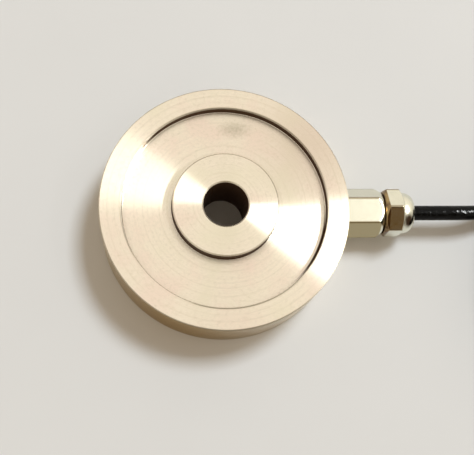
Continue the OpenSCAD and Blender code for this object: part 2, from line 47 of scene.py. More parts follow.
# Sensing body
# One turned piece of stainless steel: rim, thin web, boss and bore. Its faces are left as the
# lathe cut them, in fine rings around the bore, so it shines in fans that point at the middle.
def new_finish(name, **values):
    """A material and its shader, with the values that are the same all over set on the shader."""
    made = bpy.data.materials.new(name)
    made.use_nodes = True
    shader = made.node_tree.nodes["Principled BSDF"]
    for socket, value in values.items():
        shader.inputs[socket.replace("_", " ")].default_value = value
    return made, shader


def put(made, kind, inputs, out=0, **settings):
    """Adds one node: each of its inputs is a number, a colour or what another node gives out."""
    added = made.node_tree.nodes.new("ShaderNode" + kind)
    for setting, value in settings.items():
        setattr(added, setting, value)
    for place, value in inputs.items():
        feed(made, added.inputs[place], value)
    return added.outputs[out]


def feed(made, socket, value):
    if isinstance(value, bpy.types.NodeSocket):
        made.node_tree.links.new(value, socket)
    else:
        socket.default_value = value


def place_on_piece(made):
    """Object coordinates, in metres."""
    return put(made, "TexCoord", {}, out=3)


def ramp(made, amount, stops):
    """A colour for an amount from 0 to 1, smooth between the given stops."""
    added = made.node_tree.nodes.new("ShaderNodeValToRGB")
    feed(made, added.inputs[0], amount)
    row = added.color_ramp.elements
    while len(row) < len(stops):
        row.new(0.5)
    for mark, (spot, colour) in zip(row, stops):
        mark.position = spot
        mark.color = (*colour, 1)
    return added.outputs[0]


def noise(made, at, scale, detail=2.0, roughness=0.5, dimensions="3D"):
    """Cloudy noise from 0 to 1, with `scale` clouds to a metre."""
    where = "W" if dimensions == "1D" else "Vector"
    return put(made, "TexNoise", {where: at, "Scale": scale, "Detail": detail,
                                  "Roughness": roughness}, noise_dimensions=dimensions)


def maths(made, operation, a, b=0.5, clamp=False):
    return put(made, "Math", {0: a, 1: b}, operation=operation, use_clamp=clamp)


def blend(made, amount, first, second, kind="MIX"):
    """Mixes two colours by an amount from 0 to 1."""
    added = made.node_tree.nodes.new("ShaderNodeMix")
    added.data_type = "RGBA"
    added.blend_type = kind
    for place, value in ((0, amount), (6, first), (7, second)):
        feed(made, added.inputs[place], value)
    return added.outputs[2]


def bump(made, height, strength, distance):
    return put(made, "Bump", {"Height": height, "Strength": strength, "Distance": distance})


def from_axis(made, at):
    """Distance of a point from the bore's axis: the length of its place with the height left out."""
    flat = put(made, "VectorMath", {0: at, 1: (1, 1, 0)}, operation="MULTIPLY")
    return put(made, "VectorMath", {0: flat}, out=1, operation="LENGTH")


def around_axis(made, at):
    """The direction in which the lathe tool ran: square to the axis and to the radius."""
    return put(made, "VectorMath", {0: (0, 0, 1), 1: at}, operation="CROSS_PRODUCT")


BORE_R, BOSS_R, RECESS_R, BODY_R = 7.5 * MM, 17.8 * MM, 34.5 * MM, 42 * MM
FACE_Z, RIM_Z, BOSS_TOP = 20.1 * MM, 20.5 * MM, 21.5 * MM
# Marks on the steel, each where it is and how far it reaches: a stain, painted shade on the face, in a
# corner and on the outer wall, places left without painted shade, and a pit.
STAIN_SPOT, STAIN_R = (4.0 * MM, 28.0 * MM, 17.7 * MM), 4.2 * MM
SHADED_FACE_SPOT, SHADED_FACE_R = (30 * MM, 23 * MM, 20 * MM), 28 * MM
SHADED_CORNER_SPOT, SHADED_CORNER_R = (30.5 * MM, -14.0 * MM, 18.5 * MM), 17 * MM
UNSHADED_SPOT, UNSHADED_R = (-31.5 * MM, 14.0 * MM, 19 * MM), 15 * MM
WALL_SHADE_SPOT, WALL_SHADE_R = (-17.7 * MM, -38 * MM, 12 * MM), 40 * MM
UNDARKENED_EDGE_SPOT, UNDARKENED_EDGE_R = (-22.0 * MM, -26.5 * MM, 20 * MM), 17 * MM
PIT_SPOT, PIT_R = (-1.5 * MM, -6.6 * MM, 22.0 * MM), 0.5 * MM


def within(made, amount, middle, reach, soft):
    """1 where an amount is closer to `middle` than `reach`, fading to 0 over the length `soft`."""
    away = maths(made, "ABSOLUTE", maths(made, "SUBTRACT", amount, middle))
    return put(made, "MapRange", {"Value": away, "From Min": reach, "From Max": reach + soft,
                                  "To Min": 1.0, "To Max": 0.0}, interpolation_type="SMOOTHSTEP")


def spot(made, at, middle, reach, most, stretch=1.0):
    """A mark that is `most` at its middle and fades to 0 at its edge, stretched along X."""
    away = put(made, "VectorMath", {0: at, 1: middle}, operation="SUBTRACT")
    away = put(made, "VectorMath", {0: away, 1: (1 / stretch, 1, 1)}, operation="MULTIPLY")
    away = put(made, "VectorMath", {0: away}, out=1, operation="LENGTH")
    return put(made, "MapRange", {"Value": away, "From Min": 0.0, "From Max": reach,
                                  "To Min": most, "To Max": 0.0}, interpolation_type="SMOOTHSTEP")


def turned_steel():
    """Bare stainless steel as it comes off the lathe: bright lands and dull furrows in rings, one grey
    thumb mark and a small pit. Brown shade is painted on the walls, the bore, the edges and the face."""
    made, shader = new_finish("turned_steel", Specular_IOR_Level=0.02, Anisotropic=1.0,
                              Anisotropic_Rotation=0.25)
    at = place_on_piece(made)
    radius = from_axis(made, at)
    height = put(made, "SeparateXYZ", {0: at}, out=2)
    rings = noise(made, radius, 3800, 4, 0.6, "1D")
    wide_rings = noise(made, radius, 700, 3, 0.65, "1D")
    clouds = noise(made, at, 60, 3, 0.55)
    specks = noise(made, at, 900, 4, 0.65)
    tone = blend(made, rings, (0.785, 0.71, 0.585, 1), (0.885, 0.81, 0.685, 1))
    faint = put(made, "MapRange", {"Value": wide_rings, "From Min": 0.52, "From Max": 0.66,
                                   "To Min": 0.0, "To Max": 0.32})
    tone = blend(made, faint, tone, (0.70, 0.62, 0.49, 1))
    rosy = put(made, "MapRange", {"Value": clouds, "From Min": 0.5, "From Max": 0.68,
                                  "To Min": 0.0, "To Max": 0.8})
    tone = blend(made, rosy, tone, (0.83, 0.70, 0.60, 1))
    dull = put(made, "MapRange", {"Value": specks, "From Min": 0.48, "From Max": 0.68,
                                  "To Min": 0.0, "To Max": 0.3})
    tone = blend(made, dull, tone, (0.66, 0.575, 0.45, 1))
    olive = put(made, "MapRange", {"Value": clouds, "From Min": 0.32, "From Max": 0.48,
                                   "To Min": 0.8, "To Max": 0.0})
    tone = blend(made, olive, tone, (0.79, 0.735, 0.585, 1))
    # Painted shade: the face's upper right is darker and pinker.
    tone = blend(made, spot(made, at, SHADED_FACE_SPOT, SHADED_FACE_R, 0.6), tone, (0.66, 0.54, 0.45, 1))
    # Painted shade: dark brown on the walls of the recess and the boss and in the bore, where these
    # lie in shade; there the steel is made non-metal so it stays dark.
    lower = maths(made, "LESS_THAN", height, FACE_Z)
    film_and_painted_shade = maths(made, "MULTIPLY", within(made, radius, RECESS_R, 0.1 * MM, 0.2 * MM), lower)
    # Painted shade spreads onto the web at the foot of the recess wall towards the lower right.
    painted_corner_shade = maths(made, "MULTIPLY", spot(made, at, SHADED_CORNER_SPOT, SHADED_CORNER_R, 1.6),
                   within(made, radius, RECESS_R, 0.5 * MM, 0.35 * MM))
    film_and_painted_shade = maths(made, "MAXIMUM", film_and_painted_shade, maths(made, "MINIMUM", maths(
        made, "MULTIPLY", painted_corner_shade, lower), 1.0))
    # The painted shade and the darker edge are left out on the left part of the recess.
    shade_left_out = maths(made, "SUBTRACT", 1.0, maths(
        made, "MINIMUM", spot(made, at, UNSHADED_SPOT, UNSHADED_R, 1.8), 1.0))
    film_and_painted_shade = maths(made, "MULTIPLY", film_and_painted_shade, shade_left_out)
    lower = maths(made, "LESS_THAN", height, BOSS_TOP)
    film_and_painted_shade = maths(made, "MAXIMUM", film_and_painted_shade, maths(
        made, "MULTIPLY", within(made, radius, BOSS_R, 0.1 * MM, 0.3 * MM), lower))
    film_and_painted_shade = maths(made, "MAXIMUM", film_and_painted_shade, within(made, radius, 0, BORE_R + 0.05 * MM, 0.1 * MM))
    film_and_painted_shade = maths(made, "MULTIPLY", film_and_painted_shade, 0.97)
    tone = blend(made, film_and_painted_shade, tone, (0.05, 0.018, 0.004, 1))
    feed(made, shader.inputs["Metallic"], maths(made, "SUBTRACT", 1.0, film_and_painted_shade))
    # Painted shade and a painted reflection of the shaded floor: the outer wall is darker, and browner
    # towards the lower left.
    side = maths(made, "GREATER_THAN", radius, BODY_R - 0.1 * MM)
    tone = blend(made, maths(made, "MULTIPLY", side, 0.7), tone, (0.42, 0.34, 0.22, 1))
    painted_wall_shade = spot(made, at, WALL_SHADE_SPOT, WALL_SHADE_R, 0.9)
    tone = blend(made, maths(made, "MULTIPLY", side, painted_wall_shade), tone, (0.42, 0.26, 0.075, 1))
    stain = maths(made, "MULTIPLY", spot(made, at, STAIN_SPOT, STAIN_R, 0.95, 1.9), specks)
    tone = blend(made, stain, tone, (0.38, 0.34, 0.25, 1))
    tone = blend(made, spot(made, at, PIT_SPOT, PIT_R, 1.0), tone, (0.30, 0.25, 0.19, 1))
    # Painted shade: a thin darker ring along the recess edge and the rim's outer edge, left out in one
    # place on the recess edge; the ring is also rougher.
    edge = maths(made, "MULTIPLY", within(made, radius, RECESS_R + 0.1 * MM, 0.3 * MM, 0.2 * MM),
                 maths(made, "GREATER_THAN", height, FACE_Z))
    undarkened_edge = maths(made, "MINIMUM", spot(made, at, UNDARKENED_EDGE_SPOT, UNDARKENED_EDGE_R, 1.8), 1.0)
    edge = maths(made, "MULTIPLY", maths(made, "MULTIPLY", edge, shade_left_out),
                 maths(made, "SUBTRACT", 1.0, undarkened_edge))
    outer = maths(made, "MULTIPLY", within(made, height, RIM_Z - 0.2 * MM, 0.15 * MM, 0.1 * MM),
                  maths(made, "GREATER_THAN", radius, BODY_R - 0.4 * MM))
    edge = maths(made, "MAXIMUM", edge, outer)
    tone = blend(made, maths(made, "MULTIPLY", edge, 0.45), tone, (0.30, 0.25, 0.16, 1))
    feed(made, shader.inputs["Base Color"], tone)
    rough = put(made, "MapRange", {"Value": rings, "To Min": 0.19, "To Max": 0.24})
    rough = maths(made, "MAXIMUM", rough, maths(made, "MULTIPLY", edge, 0.5))
    feed(made, shader.inputs["Roughness"], rough)
    feed(made, shader.inputs["Tangent"], around_axis(made, at))
    feed(made, shader.inputs["Normal"], bump(made, rings, 0.15, 0.00002))
    return made


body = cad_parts["sensing_body"]
body.material_slots[0].material = turned_steel()


# Bottom cover
# A thin ring of stainless sheet that closes the gauge cavity from below, pressed into its seat.
# The sheet keeps its rolled grain, which runs one way across it.
def rolled_sheet():
    made, shader = new_finish("cover_steel", Metallic=1.0)
    at = place_on_piece(made)
    drawn = put(made, "Mapping", {"Vector": at, "Scale": (1, 40, 1)})
    grain = noise(made, drawn, 260, 4, 0.6)
    feed(made, shader.inputs["Base Color"],
         blend(made, grain, (0.52, 0.50, 0.46, 1), (0.66, 0.63, 0.58, 1)))
    feed(made, shader.inputs["Roughness"],
         ramp(made, grain, [(0.3, (0.30,) * 3), (0.7, (0.44,) * 3)]))
    feed(made, shader.inputs["Normal"], bump(made, grain, 0.2, 0.00002))
    return made


def refinish(node, material):
    """Gives a CAD node the finished material instead of its plain one."""
    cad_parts[node].material_slots[0].material = material


refinish("bottom_cover", rolled_sheet())


# Strain gauges and their wires
# Eight foil gauges bonded under the web: a grey metal grid on a thin amber film. Each has two
# enamelled copper wires to the board.
FOIL_TOP = 14.598 * MM


def gauge_film():
    made, shader = new_finish("gauge_film", IOR=1.5)
    at = place_on_piece(made)
    height = put(made, "SeparateXYZ", {0: at}, out=2)
    is_foil = maths(made, "LESS_THAN", height, FOIL_TOP)
    cloud = noise(made, at, 900, 3)
    film_and_painted_shade = blend(made, cloud, (0.42, 0.19, 0.035, 1), (0.55, 0.27, 0.06, 1))
    foil = blend(made, cloud, (0.42, 0.38, 0.33, 1), (0.56, 0.51, 0.45, 1))
    feed(made, shader.inputs["Base Color"], blend(made, is_foil, film_and_painted_shade, foil))
    feed(made, shader.inputs["Metallic"], is_foil)
    feed(made, shader.inputs["Roughness"],
         ramp(made, cloud, [(0.3, (0.28,) * 3), (0.7, (0.40,) * 3)]))
    return made


def plain_plastic(name, dark, light, rough=(0.32, 0.46), scale=1200, depth=0.00003):
    """A moulded or drawn plastic: two near tones in small clouds, and a faint skin."""
    made, shader = new_finish(name, IOR=1.5)
    at = place_on_piece(made)
    cloud = noise(made, at, scale, 3)
    feed(made, shader.inputs["Base Color"], blend(made, cloud, (*dark, 1), (*light, 1)))
    feed(made, shader.inputs["Roughness"],
         ramp(made, cloud, [(0.3, (rough[0],) * 3), (0.7, (rough[1],) * 3)]))
    feed(made, shader.inputs["Normal"], bump(made, cloud, 0.25, depth))
    return made


film_and_painted_shade = gauge_film()
enamel = plain_plastic("gauge_wire", (0.33, 0.09, 0.03), (0.42, 0.13, 0.05), (0.15, 0.25))
for number in (1, 2, 3, 4):
    refinish("gauge_inner_%d" % number, film_and_painted_shade)
    refinish("gauge_outer_%d" % number, film_and_painted_shade)
    refinish("gauge_leads_%d" % number, enamel)


# Ring board and its resistors
# An open ring of green laminate on the ledge of the cavity, with four chip resistors that
# balance the bridge. Round copper tracks show through the solder mask.
PAD_R = 29.6 * MM


def board_laminate():
    made, shader = new_finish("board_laminate", IOR=1.5)
    at = place_on_piece(made)
    radius = from_axis(made, at)
    track = maths(made, "GREATER_THAN", maths(made, "SINE", maths(
        made, "MULTIPLY", radius, 2 * math.pi / (1.6 * MM))), 0.35)
    weave = put(made, "TexChecker", {"Vector": at, "Scale": 1400, "Color1": (0.9, 0.9, 0.9, 1),
                                     "Color2": (1, 1, 1, 1)})
    mask = blend(made, track, (0.012, 0.085, 0.035, 1), (0.03, 0.17, 0.07, 1))
    feed(made, shader.inputs["Base Color"], blend(made, 1.0, mask, weave, "MULTIPLY"))
    feed(made, shader.inputs["Roughness"],
         ramp(made, noise(made, at, 500), [(0.3, (0.22,) * 3), (0.7, (0.36,) * 3)]))
    feed(made, shader.inputs["Normal"], bump(made, track, 0.4, 0.00003))
    return made


def chip_resistor(angle):
    """Black glaze over the middle and tinned caps at the two ends, square to the chip's angle."""
    made, shader = new_finish("chip_%d" % angle, IOR=1.6)
    at = place_on_piece(made)
    lined_up = put(made, "Mapping", {"Vector": at, "Rotation": (0, 0, -math.radians(angle))},
                   vector_type="POINT")
    along = maths(made, "ABSOLUTE", put(made, "SeparateXYZ", {0: lined_up}, out=1))
    cap = maths(made, "GREATER_THAN", along, 1.1 * MM)
    cloud = noise(made, at, 2500, 3)
    glaze = blend(made, cloud, (0.010, 0.010, 0.011, 1), (0.022, 0.022, 0.024, 1))
    tin = blend(made, cloud, (0.52, 0.52, 0.50, 1), (0.66, 0.66, 0.63, 1))
    feed(made, shader.inputs["Base Color"], blend(made, cap, glaze, tin))
    feed(made, shader.inputs["Metallic"], cap)
    feed(made, shader.inputs["Roughness"],
         ramp(made, cloud, [(0.3, (0.25,) * 3), (0.7, (0.42,) * 3)]))
    return made


refinish("ring_board", board_laminate())
for node, angle in (("zero_resistor", 80), ("span_resistor", 100), ("balance_resistor", 260),
                    ("trim_resistor", 280)):
    refinish(node, chip_resistor(angle))


# Cores inside the body
# The cable's four insulated cores and its bare drain wire, from the stripped jacket to the
# board. The insulation is drawn plastic in the usual four colours.
CORE_COLOURS = {"red": ((0.30, 0.014, 0.010), (0.40, 0.022, 0.016)),
                "black": ((0.006, 0.006, 0.006), (0.014, 0.014, 0.014)),
                "green": ((0.010, 0.16, 0.035), (0.018, 0.23, 0.055)),
                "white": ((0.66, 0.65, 0.62), (0.76, 0.75, 0.72))}


def tinned_wire():
    made, shader = new_finish("tinned_copper", Metallic=1.0)
    at = place_on_piece(made)
    cloud = noise(made, at, 3000, 3)
    feed(made, shader.inputs["Base Color"],
         blend(made, cloud, (0.50, 0.47, 0.43, 1), (0.68, 0.66, 0.62, 1)))
    feed(made, shader.inputs["Roughness"],
         ramp(made, cloud, [(0.3, (0.22,) * 3), (0.7, (0.38,) * 3)]))
    feed(made, shader.inputs["Normal"], bump(made, cloud, 0.5, 0.00004))
    return made


tinned = tinned_wire()
core_skin = {}
for colour, (dark, light) in CORE_COLOURS.items():
    core_skin[colour] = plain_plastic("core_" + colour, dark, light, (0.24, 0.36))
    refinish("core_" + colour, core_skin[colour])
refinish("screen_drain", tinned)


# Cable gland
# A brass gland, nickel plated and polished, screwed into the side of the body. The body and the
# domed nut are hexagon bar that was turned; a rubber bush and a nylon claw inside grip the cable.
GLAND_SEAT = 40.933 * MM
GLAND_Z = 10.5 * MM
HALF_FLATS = 7.5 * MM


def skin(name, grid, material, closed_along=False, smooth=True):
    """A closed skin over a grid of points: rings one after another, each ring closed. The two
    end rings are closed by a fan around their middle, unless the last ring meets the first."""
    rings, around = grid.shape[:2]
    points = grid.reshape(-1, 3)
    i, k = np.meshgrid(np.arange(rings if closed_along else rings - 1), np.arange(around),
                       indexing="ij")
    j, m = (i + 1) % rings, (k + 1) % around
    quads = np.stack([i * around + k, i * around + m, j * around + m, j * around + k],
                     -1).reshape(-1, 4)
    faces = quads.tolist()
    if not closed_along:
        points = np.vstack([points, grid[0].mean(0), grid[-1].mean(0)])
        k = np.arange(around)
        first, last = len(points) - 2, len(points) - 1
        faces += np.column_stack([k * 0 + first, (k + 1) % around, k]).tolist()
        end = (rings - 1) * around
        faces += np.column_stack([k * 0 + last, end + k, end + (k + 1) % around]).tolist()
    mesh = bpy.data.meshes.new(name)
    mesh.from_pydata(points.tolist(), [], faces)
    mesh.polygons.foreach_set("use_smooth", np.full(len(faces), smooth))
    mesh.materials.append(material)
    mesh.update()
    made = bpy.data.objects.new(name, mesh)
    bpy.context.scene.collection.objects.link(made)
    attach(made, "root")
    return made


def walk(profile, step):
    """Points along a closed profile, at most a step apart, with its own corners among them."""
    walked = []
    for a, b in zip(profile, np.roll(profile, -1, axis=0)):
        parts = max(1, math.ceil(np.linalg.norm(b - a) / step))
        walked.append(a + (b - a) * np.linspace(0, 1, parts, endpoint=False)[:, None])
    return np.vstack(walked)


def spun_hexagon(name, profile, turn, material):
    """A turned form cut by six flats. At each place along the profile and each angle around, the
    radius is the least of the turned radius and the six flats' half width over the cosine of the
    angle to the flat. The edges are broken: the least is -k log(sum(exp(-radius / k)))."""
    edge = 0.09 * MM
    x, turned = walk(profile, 0.2 * MM).T
    sector = np.sign(np.linspace(-1, 1, 25)[:-1]) * np.abs(np.linspace(-1, 1, 25)[:-1]) ** 0.6
    angle = np.concatenate([np.radians(60 * k + turn + 30 * sector) for k in range(6)])
    radii = [np.broadcast_to(turned[:, None], (len(turned), len(angle)))]
    for k in range(6):
        cosine = np.cos(angle - math.radians(60 * k + turn))
        flat = np.where(cosine > 0.3, HALF_FLATS / np.maximum(cosine, 0.3), 1.0)
        radii.append(np.broadcast_to(flat, radii[0].shape))
    least = -edge * np.log(np.exp(-(np.stack(radii) - 5 * MM) / edge).sum(0)) + 5 * MM
    radius = np.where(turned[:, None] < HALF_FLATS - 8 * edge, turned[:, None], least)
    grid = np.stack([np.broadcast_to(x[:, None], radius.shape), -radius * np.sin(angle),
                     GLAND_Z + radius * np.cos(angle)], -1)
    return skin(name, grid, material, closed_along=True)


NUT_START = GLAND_SEAT + 14.5 * MM
DOME_REFLECTION_SPOT, DOME_REFLECTION_R = (63.5 * MM, -4.4 * MM, 16.1 * MM), 3.9 * MM
SHADED_FLAT_NORMAL = (0, -math.sin(math.radians(68)), math.cos(math.radians(68)))


def nickel_plate():
    """Thin bright nickel over brass: the plating is rubbed through along the edges between the flats.
    Brown shade is painted on the nut's inner chamfer and the body's front flat, a dark reflection on
    the dome."""
    made, shader = new_finish("nickel_plate", Metallic=1.0)
    at = place_on_piece(made)
    cloud = noise(made, at, 260, 3)
    fine = noise(made, at, 2600, 3)
    tone = blend(made, cloud, (0.76, 0.75, 0.62, 1), (0.84, 0.83, 0.70, 1))
    away = put(made, "VectorMath", {0: at, 1: (0, 0, GLAND_Z)}, operation="SUBTRACT")
    away = put(made, "VectorMath", {0: away, 1: (0, 1, 1)}, operation="MULTIPLY")
    facing_out = put(made, "VectorMath", {0: away, 1: SHADED_FLAT_NORMAL}, out=1, operation="DOT_PRODUCT")
    away = put(made, "VectorMath", {0: away}, out=1, operation="LENGTH")
    rubbed = put(made, "MapRange", {"Value": away, "From Min": 1.11 * HALF_FLATS,
                                    "From Max": 1.135 * HALF_FLATS, "To Min": 0, "To Max": 0.7})
    tone = blend(made, rubbed, tone, (0.20, 0.135, 0.05, 1))
    along = put(made, "SeparateXYZ", {0: at}, out=0)
    # Painted shade: the gland body's flat that faces the front (-Y) is darker and olive, like the
    # shaded floor it reflects.
    painted_flat_shade = maths(made, "MULTIPLY", maths(made, "LESS_THAN", along, NUT_START - 1.5 * MM),
                   maths(made, "GREATER_THAN", facing_out, 0.97 * HALF_FLATS))
    tone = blend(made, maths(made, "MULTIPLY", painted_flat_shade, 0.85), tone, (0.35, 0.28, 0.14, 1))
    # Painted shade: patchy brown on the nut's inner chamfer, in the groove between body and nut.
    painted_groove_shade = within(made, along, NUT_START + 0.4 * MM, 0.75 * MM, 0.4 * MM)
    patchy = put(made, "MapRange", {"Value": cloud, "From Min": 0.4, "From Max": 0.6})
    brown = blend(made, patchy, (0.12, 0.055, 0.015, 1), (0.34, 0.23, 0.085, 1))
    tone = blend(made, maths(made, "MULTIPLY", painted_groove_shade, 0.92), tone, brown)
    # Painted reflection: a dark brown patch on the front of the dome.
    painted_dark_reflection = maths(made, "MINIMUM", spot(made, at, DOME_REFLECTION_SPOT, DOME_REFLECTION_R, 1.5, 0.55), 0.97)
    feed(made, shader.inputs["Base Color"], blend(made, painted_dark_reflection, tone, (0.035, 0.014, 0.003, 1)))
    feed(made, shader.inputs["Roughness"],
         ramp(made, fine, [(0.3, (0.12,) * 3), (0.75, (0.24,) * 3)]))
    feed(made, shader.inputs["Normal"], bump(made, fine, 0.15, 0.00002))
    return made


nickel = nickel_plate()
body_profile = MM * np.array([
    [-6.4, 3.0], [12.2, 3.0], [12.2, 4.6], [20.2, 4.6], [20.2, 5.6], [14.2, 5.6], [14.2, 6.9],
    [13.9, 7.3], [12.0, 8.66], [11.35, 9.4], [0.45, 9.4], [0.2, 8.3], [0.0, 8.1], [0.0, 6.8],
    [1.4, 6.8], [1.4, 5.2], [0.0, 5.2], [0.0, 5.0], [-6.0, 5.0], [-6.4, 4.6]])
gland_body = spun_hexagon("gland_body_plated", body_profile + [GLAND_SEAT, 0], 8,
                          nickel)
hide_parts("gland_body")

dome = np.linspace(90, 0, 13)[:, None]
dome = np.hstack([10.8 - 4.2 + 4.2 * np.sin(np.radians(dome)),
                  4.3 + 2.95 * np.cos(np.radians(dome))])
nut_profile = MM * np.vstack([
    [[0.05, 5.75], [0.0, 7.26], [1.4, 8.66], [2.2, 9.4], [5.0, 9.4], [5.8, 8.65]],
    dome[::-1], [[10.8, 2.9], [10.3, 2.9], [10.2, 3.8], [6.5, 4.7], [5.95, 5.7]]])
gland_nut = spun_hexagon("gland_nut_plated", nut_profile + [NUT_START, 0], 30,
                         nickel)
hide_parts("gland_nut")
rubber = plain_plastic("gland_rubber", (0.008, 0.008, 0.008), (0.018, 0.018, 0.017), (0.5, 0.65))
refinish("gland_seal", rubber)
refinish("gland_bush", rubber)
refinish("gland_claw", plain_plastic("claw_nylon", (0.62, 0.60, 0.54), (0.72, 0.70, 0.64)))


# Cable
# Black round cable with four cores and a screen, jacketed in smooth plastic. It leaves the gland
# straight, comes down to the floor and is put away in a coil of four by four turns.
CABLE_R = 2.6 * MM
CABLE_ROUTE = MM * np.array([
    [-1.5, 0, 10.5], [9, 0, 10.5], [21, 0, 10.5], [33, 0, 10.5], [43, 0, 10.5],
    [50, 0.4, 9.7], [56.5, 2, 7.8], [63, 4.9, 5.5], [69.5, 7.9, 3.6], [76, 11, 2.7],
    [82.5, 14, 2.9]]) + [GLAND_SEAT, 0, 0]
MEET_ANGLE, MEET_R = 115, 44.1 * MM
COIL_MIDDLE = CABLE_ROUTE[-1, :2] - MEET_R * np.array(
    [math.cos(math.radians(MEET_ANGLE)), math.sin(math.radians(MEET_ANGLE))])
TURN_R = MM * np.array([23.2, 28.4, 33.6, 38.8])
LAYER_Z = MM * np.array([3.5, 8.7, 13.9, 19.1])
TAIL_R, TAIL_Z = 39.35 * MM, 19.65 * MM
COIL_END, TAIL_END = 5465, 5482.5


def smooth_line(points, steps):
    """A rounded line through points: each span is a cubic that leaves and meets its two points
    along the line between their neighbours."""
    p = np.vstack([2 * points[0] - points[1], points, 2 * points[-1] - points[-2]])
    t = np.linspace(0, 1, steps, endpoint=False)[None, :, None]
    a, b, c, d = (p[i:len(p) - 3 + i, None] for i in range(4))
    line = 0.5 * (2 * b + (c - a) * t + (2 * a - 5 * b + 4 * c - d) * t ** 2
                  + (3 * b - a - 3 * c + d) * t ** 3)
    return np.vstack([line.reshape(-1, 3), points[-1]])


def shift(turned, start, end):
    """0 before start, 1 after end, and an S between them: 3 s squared minus 2 s cubed."""
    s = np.clip((turned - start) / (end - start), 0, 1)
    return s * s * (3 - 2 * s)


def coil_line(turned):
    """Places on the coil for the degrees turned, clockwise from where the cable meets it. The
    cable lays one turn, steps over by one column in a third of a turn, and after four turns
    steps up to the next layer and works its way back."""
    radius = np.full_like(turned, MEET_R)
    height = CABLE_ROUTE[-1, 2] + (LAYER_Z[0] - CABLE_ROUTE[-1, 2]) * shift(turned, 0, 60)
    columns = [(0, 3, None), (360, 2, 3), (720, 1, 2), (1080, 0, 1),
               (1720, 1, 0), (2080, 2, 1), (2440, 3, 2),
               (3080, 2, 3), (3440, 1, 2), (3800, 0, 1),
               (4440, 1, 0), (4800, 2, 1), (5160, 3, 2)]
    for start, to, come_from in columns:
        before = MEET_R if come_from is None else TURN_R[come_from]
        radius += (TURN_R[to] - before) * shift(turned, start, start + 120)
    for layer, start in enumerate((1400, 2760, 4120)):
        height += (LAYER_Z[layer + 1] - LAYER_Z[layer]) * shift(turned, start, start + 120)
    last = shift(turned, COIL_END - 60, COIL_END)
    radius += (TAIL_R - TURN_R[3]) * last
    height += (TAIL_Z - LAYER_Z[3]) * last
    angle = np.radians(MEET_ANGLE - turned)
    return np.column_stack([COIL_MIDDLE[0] + radius * np.cos(angle),
                            COIL_MIDDLE[1] + radius * np.sin(angle), height])


def tube(line, radius, around):
    """Rings of points around a line. At each point the ring stands square to the line, and its
    first corner keeps to the line's level side."""
    ahead = np.gradient(line, axis=0)
    ahead /= np.linalg.norm(ahead, axis=1, keepdims=True)
    side = np.cross([0, 0, 1.0], ahead)
    side /= np.linalg.norm(side, axis=1, keepdims=True)
    up = np.cross(ahead, side)
    turn = np.linspace(0, 2 * np.pi, around, endpoint=False)[None, :, None]
    radius = np.broadcast_to(radius, len(line))[:, None, None]
    return line[:, None] + radius * (side[:, None] * np.cos(turn) + up[:, None] * np.sin(turn))


def jacket_plastic():
    made, shader = new_finish("cable_jacket", IOR=1.5, Specular_IOR_Level=0.11)
    at = place_on_piece(made)
    dents = noise(made, at, 420, 2, 0.5)
    scuffs = noise(made, at, 140, 3, 0.6)
    tone = blend(made, scuffs, (0.0016, 0.0016, 0.0016, 1), (0.0045, 0.0045, 0.0042, 1))
    feed(made, shader.inputs["Base Color"], tone)
    feed(made, shader.inputs["Roughness"],
         ramp(made, scuffs, [(0.3, (0.10,) * 3), (0.75, (0.20,) * 3)]))
    feed(made, shader.inputs["Normal"], bump(made, dents, 0.6, 0.0006))
    return made


cable_line = np.vstack([
    smooth_line(CABLE_ROUTE, 8)[:-1], coil_line(np.arange(0, COIL_END, 6.0)),
    coil_line(np.linspace(COIL_END, TAIL_END, 4))])
cable = skin("cable", tube(cable_line, CABLE_R, 20), jacket_plastic())
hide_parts("cable_run", "cable_coil", "cable_tail")


# Coil ties
# Two black nylon cable ties around the coil's section. The strap has fine teeth on its inner
# side, runs through a locking head and is cut off short behind it.
COIL_IN, COIL_OUT = 20.6 * MM, 41.4 * MM
COIL_LOW, COIL_TOP = 0.9 * MM, 21.7 * MM
TIE_W, TIE_T = 2.6 * MM, 0.8 * MM


def on_section(angle, across, out, high):
    """Places in the coil's upright section at an angle around its middle: out from the middle,
    high over the floor, and across the section's plane."""
    c, s = math.cos(math.radians(angle)), math.sin(math.radians(angle))
    return np.stack([COIL_MIDDLE[0] + out * c - across * s, COIL_MIDDLE[1] + out * s + across * c,
                     high], -1)


def rounded_loop(x0, x1, y0, y1, r, count):
    """Points around a rectangle with round corners: a superellipse of power 6 fits its corners."""
    t = np.linspace(0, 2 * np.pi, count, endpoint=False)
    power = 2 / 7
    c, s = np.cos(t), np.sin(t)
    return ((x0 + x1) / 2 + (x1 - x0) / 2 * np.sign(c) * np.abs(c) ** power,
            (y0 + y1) / 2 + (y1 - y0) / 2 * np.sign(s) * np.abs(s) ** power)


def pillow(angle, out, high, across, size, name, material):
    """A block with round edges: a superellipsoid, whose points are the sines and cosines of two
    angles raised to a small power. `size` is its half lengths out, high and across."""
    u = np.linspace(-np.pi / 2, np.pi / 2, 25)[1:-1, None]
    v = np.linspace(0, 2 * np.pi, 40, endpoint=False)[None]
    power = 0.28

    def bent(value):
        return np.sign(value) * np.abs(value) ** power
    a = out + size[0] * bent(np.cos(u)) * bent(np.cos(v))
    b = across + size[2] * bent(np.cos(u)) * bent(np.sin(v))
    c = high + size[1] * bent(np.sin(u)) * np.ones_like(v)
    return skin(name, on_section(angle, b, a, c), material)


